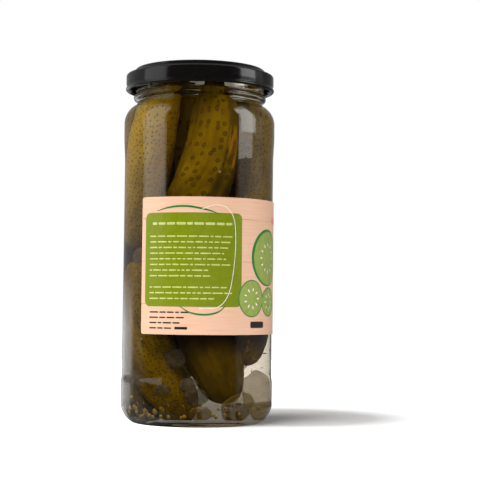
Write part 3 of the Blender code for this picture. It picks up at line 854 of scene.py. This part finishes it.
def make_seeds():
    """Mustard seeds along the foot of the glass, thickest at the left, and a few that cling to gherkins."""
    chance = random.Random(21)
    points = []
    for azimuth, height in (
        (-62, 13.0), (-48, 6.4), (-57, 7.0), (-52, 5.6), (-43, 6.0), (-46, 7.6), (-39, 5.6), (-24, 5.6),
        (-10, 5.8), (-12.5, 5.4), (14, 6.6), (17, 5.8), (18, 9.0), (24, 9.0), (24.5, 6.6), (38, 6.8),
        (60, 8.5), (-66, 8.0), (-70, 6.6), (-31, 5.8),
    ):
        limit = inside_limit(height * MM) - 0.5 * SEED_DIAMETER
        points.append(polar(azimuth, limit, height * MM))
    for _ in range(16):
        azimuth = chance.uniform(-66, -30)
        height = CONTENTS_BOTTOM + SEED_DIAMETER * chance.uniform(0.5, 2.2)
        points.append(polar(azimuth, inside_limit(height) - SEED_DIAMETER * chance.uniform(0.5, 2.0), height))
    for _ in range(22):
        azimuth = chance.uniform(80, 280)
        height = CONTENTS_BOTTOM + SEED_DIAMETER * chance.uniform(0.5, 1.3)
        points.append(polar(azimuth, inside_limit(height) - SEED_DIAMETER * chance.uniform(0.5, 1.6), height))
    for azimuth, height in ((-50, 40.5), (16.5, 119.0), (150, 112.0), (196, 30.0), (260, 120.0)):
        points.append(polar(azimuth, inside_limit(height * MM) - 0.45 * SEED_DIAMETER, height * MM))
    husk = mustard_husk()
    values = {"Diameter": SEED_DIAMETER, "Size change": 0.25, "Seed": 4}
    seeds = grown(bare_object("mustard_seeds", points), seed_tree(husk), values, husk)
    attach(seeds, "root")


def thread_tree(material):
    """Turns every edge path into a thin round thread."""
    tree, given, result = new_tree("dill threads", (("Radius", "INPUT", "Float"), ("Sides", "INPUT", "Int")))
    path = add_node(tree, "GeometryNodeMeshToCurve", {"Mesh": given})
    sockets = {"Radius": given.outputs["Radius"], "Resolution": given.outputs["Sides"]}
    ring = add_node(tree, "GeometryNodeCurvePrimitiveCircle", sockets, mode="RADIUS")
    sockets = {"Curve": path, "Profile Curve": ring, "Fill Caps": True}
    tube = add_node(tree, "GeometryNodeCurveToMesh", sockets)
    return end_tree(tree, tube, material, result)


def dill_leaf():
    """Soaked dill: limp, pale brown threads."""
    look = {"Roughness": 0.5, "Specular IOR Level": 0.1}
    return mottled_material("soaked dill", 260.0, 2.0, ((0.4, "6E5426"), (0.6, "C9B27C")), look)


def make_dill():
    """Short threads of dill that float near the glass, most of them low and at the right."""
    chance = random.Random(8)
    points, edges = [], []
    middles = [(chance.uniform(40, 64), chance.uniform(24.0, 40.0)) for _ in range(12)]
    middles += [(chance.uniform(-60, 40), chance.uniform(7.0, 12.0)) for _ in range(12)]
    middles += [(-40, 13.5), (-37, 12.5), (-33, 13.0), (-20, 24.5), (-18, 22.0)]
    middles += [(chance.uniform(70, 290), chance.uniform(7.0, 40.0)) for _ in range(26)]
    for azimuth, height in middles:
        turn = chance.uniform(0, 2 * math.pi)
        long = chance.uniform(0.8, 3.4)
        start = len(points)
        for step in range(5):
            share = step / 4 - 0.5
            bend = 0.9 * (share * share) + chance.uniform(-0.06, 0.06)
            aside = long * (share * math.cos(turn) - bend * math.sin(turn))
            up = height + long * (share * math.sin(turn) + bend * math.cos(turn))
            spot = azimuth + math.degrees(aside * MM / INNER_RADIUS)
            points.append(polar(spot, inside_limit(up * MM) - 0.0009, up * MM))
            if step:
                edges.append((start + step - 1, start + step))
    leaf = dill_leaf()
    values = {"Radius": 0.5 * DILL_THICKNESS, "Sides": 6}
    dill = grown(bare_object("dill", points, edges), thread_tree(leaf), values, leaf)
    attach(dill, "root")


# The label

def label_point(along, up, lift):
    """A place on the label, from mm along it and mm up it, lifted off the paper's face by lift."""
    azimuth = LABEL_START + math.degrees(along * MM / LABEL_RADIUS)
    return polar(azimuth, LABEL_RADIUS + lift, LABEL_BOTTOM + up * MM)


def label_paper():
    """Satin coated paper printed as pale planks: peach, with fine grain along and joints between."""
    material, tree, shader, _ = new_material("satin coated paper, plank print")
    sheet = add_node(tree, "ShaderNodeUVMap", uv_map="sheet")
    stretch = add_node(tree, "ShaderNodeMapping", {"Scale": (0.06, 1.6, 1.0), "Vector": sheet})
    grain, colours = mottled(tree, stretch, 1.0, 6.0, ((0.32, "D9AB8E"), (0.66, "E2B79A")))
    up = add_node(tree, "ShaderNodeSeparateXYZ", {"Vector": sheet}).outputs["Y"]
    wander = add_node(tree, "ShaderNodeMath", {0: grain, 1: 0.5, 2: up}, operation="MULTIPLY_ADD")
    within = add_node(tree, "ShaderNodeMath", {0: wander, 1: PLANK_WIDTH, 2: 0.0}, operation="WRAP")
    off = add_node(tree, "ShaderNodeMath", {0: within, 1: JOINT_PLACE}, operation="SUBTRACT")
    away = add_node(tree, "ShaderNodeMath", {0: off}, operation="ABSOLUTE")
    joint = add_node(tree, "ShaderNodeMapRange", fading(away, 0.05, 0.28, 0.8, 0.0))
    layers = {0: joint, 6: colours, 7: linear("B98A6C")}
    marked = add_node(tree, "ShaderNodeMix", layers, data_type="RGBA").outputs[2]
    fill_sockets(tree, shader, {"Base Color": marked, "Roughness": 0.3})
    return material


def label_sheet():
    """The paper as a thin closed sheet with rounded corners, wrapped round the jar."""
    width, height, corner = LABEL_WIDTH / MM, LABEL_HEIGHT / MM, LABEL_CORNER / MM
    stretches = ((0, corner, 7), (corner, width - corner, 200), (width - corner, width, 7))
    columns = sorted({place for stretch in stretches for place in np.linspace(*stretch)})
    rows = list(np.linspace(0, 1, 15))
    points, faces, places = [], [], []
    for lift in (0.0, -LABEL_THICKNESS):
        for along in columns:
            edge = min(along, width - along)
            trim = corner - math.sqrt(max(0.0, corner ** 2 - (corner - edge) ** 2)) if edge < corner else 0.0
            for row in rows:
                up = trim + (height - 2 * trim) * row
                points.append(label_point(along, up, lift))
                places.append((along, up))
    across = len(rows)
    half = len(columns) * across

    def add_face(*corners):
        faces.append([side * half + column * across + row for side, column, row in corners])

    for c in range(len(columns) - 1):
        for r in range(across - 1):
            add_face((0, c, r), (0, c + 1, r), (0, c + 1, r + 1), (0, c, r + 1))
            add_face((1, c, r + 1), (1, c + 1, r + 1), (1, c + 1, r), (1, c, r))
        for r in (0, across - 1):
            add_face((0, c, r), (1, c, r), (1, c + 1, r), (0, c + 1, r))
    for c in (0, len(columns) - 1):
        for r in range(across - 1):
            add_face((0, c, r), (1, c, r), (1, c, r + 1), (0, c, r + 1))
    mesh = mesh_from("label_paper", points, faces)
    layer = mesh.uv_layers.new(name="sheet")
    for loop in mesh.loops:
        layer.data[loop.index].uv = places[loop.vertex_index]
    return outward(mesh)


def printed_ink(name, colour, darker):
    """Offset ink on satin paper: even, with the faint speckle of its screen."""
    return mottled_material(name, 500.0, 2.0, ((0.35, darker), (0.6, colour)), {"Roughness": 0.3})


def rounded_box(left, bottom, right, top, corner):
    """The outline of a box with rounded corners, in mm along and up the label."""
    points = []
    for (x, y), start in (
        ((right - corner, top - corner), 0), ((left + corner, top - corner), 90),
        ((left + corner, bottom + corner), 180), ((right - corner, bottom + corner), 270),
    ):
        points += arc((x, y), (corner, corner), start, start + 90, 6)
    return points


def oval(x, y, wide, tall, turn=0.0, steps=40):
    """The outline of an oval turned by some degrees."""
    points = []
    cosine, sine = math.cos(math.radians(turn)), math.sin(math.radians(turn))
    for angle in np.linspace(0, 2 * math.pi, steps + 1)[:-1]:
        a, b = wide * math.cos(angle), tall * math.sin(angle)
        points.append((x + a * cosine - b * sine, y + a * sine + b * cosine))
    return points


def line_of_ink(path, width, ends=1.0):
    """Outlines of short four-sided pieces that make a line along a path, with its ends a share as wide."""
    pieces = []
    path = [Vector(point) for point in path]
    sides = []
    for i, point in enumerate(path):
        along = (path[min(i + 1, len(path) - 1)] - path[max(i - 1, 0)]).normalized()
        fullness = ends + (1 - ends) * math.sin(math.pi * i / (len(path) - 1))
        across = Vector((-along.y, along.x)) * width / 2 * fullness
        sides.append((point + across, point - across))
    for (a, b), (c, d) in zip(sides, sides[1:]):
        pieces.append([tuple(a), tuple(b), tuple(d), tuple(c)])
    return pieces


def curve_through(points, steps=14):
    """A smooth path through points, with straight-run tangents at its ends."""
    points = [Vector(point) for point in points]
    padded = [2 * points[0] - points[1]] + points + [2 * points[-1] - points[-2]]
    path = []
    for i in range(1, len(padded) - 2):
        a, b, c, d = padded[i - 1:i + 3]
        for share in np.linspace(0, 1, steps + 1)[:-1]:
            t = float(share)
            bend, twist = 2 * a - 5 * b + 4 * c - d, 3 * b - a - 3 * c + d
            path.append(0.5 * (2 * b + (c - a) * t + bend * t * t + twist * t ** 3))
    return path + [points[-1]]


def wrapped_print(name, layer, outlines, material):
    """Flat ink shapes, cut into narrow strips and wrapped round the label, layer by layer."""
    flat = bmesh.new()
    for outline in outlines:
        flat.faces.new([flat.verts.new((x, y, 0.0)) for x, y in outline])
    left = min(vertex.co.x for vertex in flat.verts)
    right = max(vertex.co.x for vertex in flat.verts)
    cut = math.ceil(left / INK_STRIP) * INK_STRIP
    while cut < right:
        parts = flat.verts[:] + flat.edges[:] + flat.faces[:]
        bmesh.ops.bisect_plane(flat, geom=parts, plane_co=(cut, 0, 0), plane_no=(1, 0, 0), dist=0.001)
        cut += INK_STRIP
    for vertex in flat.verts:
        vertex.co = label_point(vertex.co.x, vertex.co.y, INK_LAYER * layer)
    mesh = bpy.data.meshes.new(name)
    flat.to_mesh(mesh)
    flat.free()
    for face in mesh.polygons:
        middle = face.center
        if face.normal.x * middle.x + face.normal.y * middle.y < 0:
            face.flip()
    mesh.update()
    printed = add_piece(name, mesh, material)
    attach(printed, "root")


def lines_of_words(chance, left, right_ends, top, pitch, tall):
    """Rows of short bars that stand for lines of small print."""
    outlines = []
    for row, end in enumerate(right_ends):
        x = left
        y = top - row * pitch
        while x < end - 1.0:
            wide = min(chance.uniform(1.2, 5.0), end - x)
            if wide > 0.8:
                outlines.append(rounded_box(x, y - tall / 2, x + wide, y + tall / 2, 0.3 * tall))
            x += wide + 0.75
    return outlines


def make_label():
    """The paper and its print: every place on it is in mm along and up from its lower left corner."""
    paper = add_piece("label_paper", label_sheet(), label_paper())
    paper.data.set_sharp_from_angle(angle=math.radians(40))
    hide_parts("label")
    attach(paper, "root")
    chance = random.Random(5)
    green = printed_ink("moss green ink", "758307", "6F7D06")
    pale = printed_ink("pale green ink", "C0C777", "B4BB6A")
    cream = printed_ink("cream ink", "F4EBDD", "EADFCE")
    deep = printed_ink("deep green ink", "1F7A35", "1B6E30")
    black = printed_ink("black ink", "2B2320", "1F1917")
    coral = printed_ink("coral ink", "E77F74", "DD746A")
    leaf = printed_ink("leaf green ink", "8FA04C", "869646")

    panels = [rounded_box(2.4, 12.9, 50.9, 56.5, 2.8), rounded_box(128.0, 8.0, 172.0, 44.0, 2.8)]
    wrapped_print("print_panels", 1, panels, green)

    small = lines_of_words(chance, 5.2, (46.5, 45.5, 43.5, 41.5, 42.5, 45.5, 34.5, 35.0), 45.5, 2.62, 0.62)
    small += lines_of_words(chance, 5.2, (43.0, 46.0, 37.0), 21.9, 2.62, 0.62)
    small += lines_of_words(chance, 131.0, (168.0, 166.0, 169.0, 160.0, 167.0, 169.0, 150.0), 38.0, 3.4, 1.1)
    small += lines_of_words(chance, 6.6, (45.5,), 51.4, 2.6, 1.2)
    wrapped_print("print_small_lines", 2, small, pale)

    dark = lines_of_words(chance, 5.4, (25.5, 23.0, 21.5, 17.0), 10.3, 2.45, 0.65)
    dark += [rounded_box(18.6, 2.4, 24.6, 3.6, 0.3), rounded_box(56.5, 3.2, 66.5, 6.2, 0.8)]
    dark += lines_of_words(chance, 130.0, (165.0, 158.0), 56.5, 3.2, 1.0)
    wrapped_print("print_dark_lines", 2, dark, black)

    # Freehand lines above and below the panel, and a loop at its right
    sweep = [(9.0, 57.3), (16.0, 59.0), (24.0, 59.4), (33.0, 57.9), (39.0, 56.0)]
    under = [(20.5, 13.3), (26.0, 10.2), (33.0, 9.3), (39.0, 10.6), (42.5, 13.4)]
    lines = line_of_ink(curve_through(sweep), 0.95, 0.3) + line_of_ink(curve_through(under), 0.85, 0.3)
    wrapped_print("print_deep_lines", 3, lines, deep)
    loop = [(31.0, 58.2), (37.0, 60.2), (43.0, 58.8), (46.6, 53.0), (47.4, 42.0)]
    loop += [(46.4, 30.0), (44.0, 19.0), (39.0, 13.0), (30.0, 12.0)]
    wrapped_print("print_cream_line", 4, line_of_ink(curve_through(loop), 0.3), cream)

    # Cucumber slices, each with a ring of seeds
    rinds, flesh, seeds = [], [], []
    for rind, inside, seed_ring, count in CUCUMBER_SLICES:
        rinds.append(oval(*rind))
        flesh.append(oval(*inside))
        for k in range(count):
            angle = 2 * math.pi * k / count
            x, y = inside[0] + seed_ring * math.cos(angle), inside[1] + seed_ring * math.sin(angle)
            seeds.append(oval(x, y, 0.9, 0.34, math.degrees(angle), 12))
    wrapped_print("print_slice_rinds", 2, rinds, deep)
    wrapped_print("print_slice_flesh", 3, flesh, leaf)
    wrapped_print("print_slice_seeds", 4, seeds, cream)
    marks = [rounded_box(76.0, 53.0, 118.0, 56.0, 1.4), rounded_box(88.0, 8.0, 120.0, 14.0, 1.4)]
    wrapped_print("print_coral_marks", 3, marks, coral)


# Studio

def floor_material():
    """White matt board: even and bright, with the faintest tooth, and darker only in the jar's shadow; it
    glows as painted light everywhere but round the middle of that shadow, which cuts the shadow short.
    """
    material, tree, shader, place = new_material("white matt board")
    tooth = add_node(tree, "ShaderNodeTexNoise", {"Scale": 900.0, "Vector": place})
    bump = add_node(tree, "ShaderNodeBump", {"Strength": 0.05, "Distance": 0.0001, "Height": tooth})
    # Painted light: the board glows more the further it lies from the middle of the jar's shadow
    ends = {0: place, 1: SHADOW_MIDDLE}
    away = add_node(tree, "ShaderNodeVectorMath", ends, operation="DISTANCE").outputs["Value"]
    lamp = add_node(tree, "ShaderNodeMapRange", fading(away, 0.045, 0.10, 0.0, 0.9))
    fill_sockets(tree, shader, {
        "Base Color": linear("F4F4F4"), "Roughness": 0.9, "Specular IOR Level": 0.0, "Normal": bump,
        "Emission Color": (1.0, 1.0, 1.0, 1.0), "Emission Strength": lamp,
    })
    return material


def make_floor():
    """The floor, round behind and cut short at the left of the front."""
    corners = [(-0.7, -0.35, 0.0), (0.0, -0.35, 0.0), (0.35, -0.59, 0.0), (0.7, -0.68, 0.0)]
    corners += [(0.7 * math.cos(a), 0.7 * math.sin(a), 0.0) for a in np.linspace(0, math.pi, 40)]
    floor = add_piece("floor", mesh_from("floor", corners, [tuple(range(len(corners)))]), floor_material())
    floor.visible_glossy = False
    floor.visible_transmission = False


def add_light(name, place, aim, width, height, power, reflected=True):
    """A soft rectangular light that the camera doesn't see."""
    data = bpy.data.lights.new(name, "AREA")
    data.shape = "RECTANGLE"
    data.size = width
    data.size_y = height
    data.energy = power
    light = bpy.data.objects.new(name, data)
    bpy.context.scene.collection.objects.link(light)
    light.location = place
    light.rotation_euler = (Vector(aim) - Vector(place)).to_track_quat("-Z", "Y").to_euler()
    light.visible_camera = False
    light.visible_glossy = reflected
    light.visible_transmission = reflected


def make_studio():
    """Soft panels at both sides, a dark room in front, white behind, and fill that gives no reflection."""
    add_light("left panel", (-0.88, -0.31, 0.66), (0.0, -0.31, 0.66), 0.71, 1.10, 2.9)
    add_light("right panel", (0.86, -0.19, 0.57), (0.0, -0.19, 0.47), 0.46, 0.68, 2.82)
    add_light("upper left key", (-0.60, -0.48, 1.42), (0.0, 0.0, 0.05), 1.1, 1.1, 29.5, reflected=False)
    add_light("front fill", (0.1, -1.5, 0.20), (0.0, 0.0, 0.08), 1.0, 0.4, 3.6, reflected=False)
    world = bpy.data.worlds.new("studio")
    bpy.context.scene.world = world
    world.use_nodes = True
    tree = world.node_tree
    way = add_node(tree, "ShaderNodeTexCoord").outputs["Generated"]
    x, y, z = add_node(tree, "ShaderNodeSeparateXYZ", {"Vector": way}).outputs
    ranged = "ShaderNodeMapRange"

    # Behind the jar: a white board at the left, dimmer towards the middle, the right and above
    across = add_node(tree, ranged, fading(x, -1.0, 1.0))
    white = add_node(tree, "ShaderNodeValToRGB", {"Fac": across})
    set_stops(white, ((0.05, 0.18), (0.08, 1.3), (0.33, 1.4), (0.38, 0.36), (0.50, 0.36), (0.55, 0.16)))
    steep = add_node(tree, ranged, fading(z, -0.40, -0.20, 0.02, 1.0))
    ground = add_node(tree, "ShaderNodeMath", {0: white, 1: steep}, operation="MULTIPLY")
    high = add_node(tree, ranged, fading(x, 0.35, 0.60, 0.32, 0.16))
    low = add_node(tree, ranged, fading(z, -0.02, 0.02, ground, high))
    behind = add_node(tree, ranged, fading(y, -0.05, 0.15, 0.02, low))

    # A strip of board at the far right, and below a dim table, lighter behind the jar at the left
    raised = add_node(tree, ranged, fading(z, -0.03, 0.12, 0.15, 0.45))
    right = add_node(tree, ranged, fading(x, 0.88, 0.91, 0.0, raised))
    under_right = add_node(tree, ranged, fading(x, -0.45, -0.15, 0.3, 0.01))
    under = add_node(tree, ranged, fading(y, -0.05, 0.05, 0.03, under_right))
    below = add_node(tree, ranged, fading(z, -0.10, -0.08, under, 0.0))
    side = add_node(tree, "ShaderNodeMath", {0: behind, 1: right}, operation="MAXIMUM")
    both = add_node(tree, "ShaderNodeMath", {0: side, 1: below}, operation="MAXIMUM")

    # It lights matt surfaces less than it shows in reflections, and the camera sees plain white
    seen = add_node(tree, "ShaderNodeLightPath").outputs
    softer = add_node(tree, ranged, fading(seen["Is Diffuse Ray"], 0.0, 1.0, 1.0, 0.25))
    dimmed = add_node(tree, "ShaderNodeMath", {0: both, 1: softer}, operation="MULTIPLY")
    brightness = add_node(tree, "ShaderNodeMath", {0: dimmed, 1: seen["Is Camera Ray"]}, operation="MAXIMUM")
    backdrop = tree.nodes["Background"]
    fill_sockets(tree, backdrop, {"Color": (1.0, 1.0, 1.0, 1.0), "Strength": brightness})
    bpy.context.scene.view_settings.view_transform = "Standard"


def make_camera():
    """The camera at the place and turn that were fitted to the outline."""
    data = bpy.data.cameras.new("camera")
    data.sensor_width = 36.0
    data.lens = FOCAL_PIXELS / PICTURE_PIXELS * data.sensor_width
    data.clip_start = 0.01
    camera = bpy.data.objects.new("camera", data)
    bpy.context.scene.collection.objects.link(camera)
    pitch_cos, pitch_sin = math.cos(CAMERA_PITCH), math.sin(CAMERA_PITCH)
    yaw_cos, yaw_sin = math.cos(CAMERA_YAW), math.sin(CAMERA_YAW)
    roll_cos, roll_sin = math.cos(CAMERA_ROLL), math.sin(CAMERA_ROLL)
    forward = Vector((pitch_cos * yaw_sin, pitch_cos * yaw_cos, pitch_sin))
    level = Vector((yaw_cos, -yaw_sin, 0.0))
    upright = Vector((-pitch_sin * yaw_sin, -pitch_sin * yaw_cos, pitch_cos))
    right = roll_cos * level - roll_sin * upright
    up = roll_sin * level + roll_cos * upright
    stand = Matrix((right, up, -forward)).transposed().to_4x4()
    stand.translation = Vector(CAMERA_PLACE)
    camera.matrix_world = stand
    bpy.context.scene.camera = camera


make_jar()
make_brine()
make_lid()
make_gherkins()
make_garlic()
make_seeds()
make_dill()
make_label()
make_floor()
make_studio()
make_camera()
